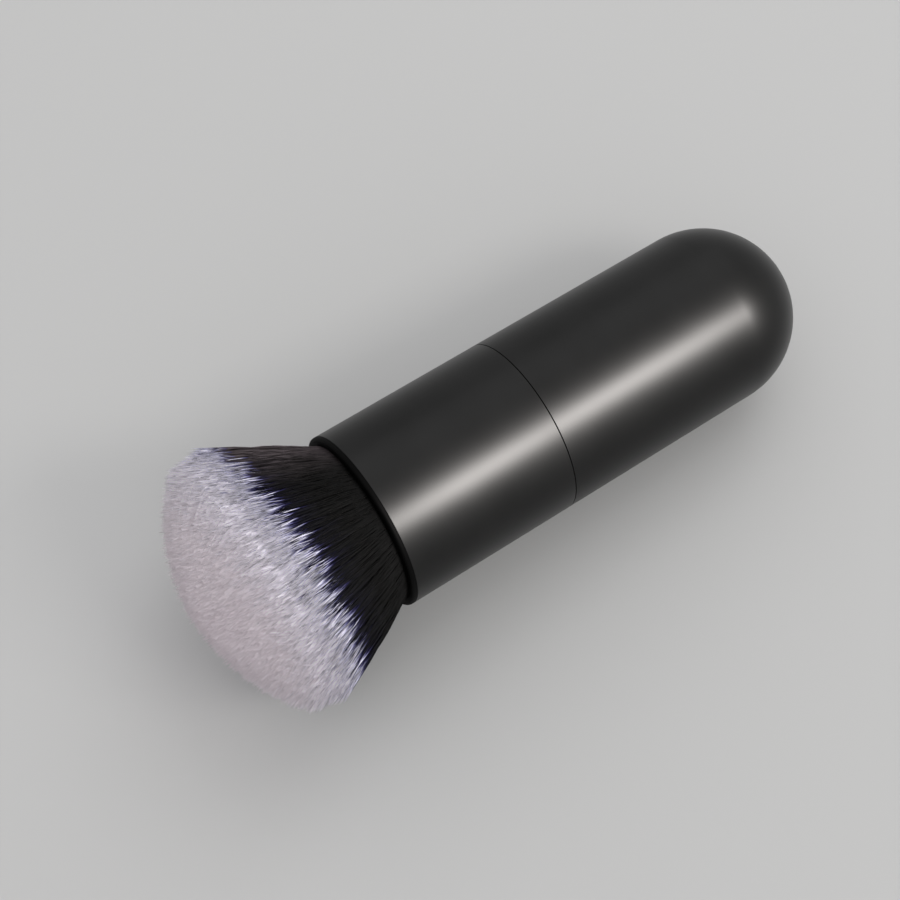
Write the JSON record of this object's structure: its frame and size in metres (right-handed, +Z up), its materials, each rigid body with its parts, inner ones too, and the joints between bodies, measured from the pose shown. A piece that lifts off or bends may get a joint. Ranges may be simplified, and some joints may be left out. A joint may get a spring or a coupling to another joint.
{
  "type": "powder brush",
  "caption": "Short powder brush with a flared, domed tuft of two-tone synthetic hair in a satin black metal ferrule, and a bullet-shaped satin black handle.",
  "frame": {"origin": "on the table under the middle of the brush's box as it lies, at the middle of the box's bottom face", "axes": "+X towards the domed end, tips towards -X, +Z up from the table. The brush's axis lies in the XZ plane and rises by about 5 degrees towards the tips, because the flared tuft holds that end up."},
  "size_m": [0.115, 0.047, 0.0463],
  "materials": {
    "satin_black_metal": "satin black anodised, fine even sheen",
    "black_plastic": "moulded, matte",
    "epoxy": "cast adhesive",
    "thread": "waxed thread, drawn tight",
    "hair": "fine synthetic hair, black at the roots and bluish white at the tips",
    "steel": "turned"
  },
  "bodies": {
    "root": {"ferrule": "satin_black_metal", "handle_shell": "satin_black_metal", "bristle_cup": "black_plastic", "root_plug": "epoxy", "binding_thread": "thread", "bristles_core": "hair", "bristles_middle": "hair", "bristles_skirt": "hair", "connector_plug": "black_plastic", "glue_ring_front": "epoxy", "glue_ring_rear": "epoxy", "counterweight": "steel", "weight_adhesive": "epoxy"}
  },
  "joints": []
}
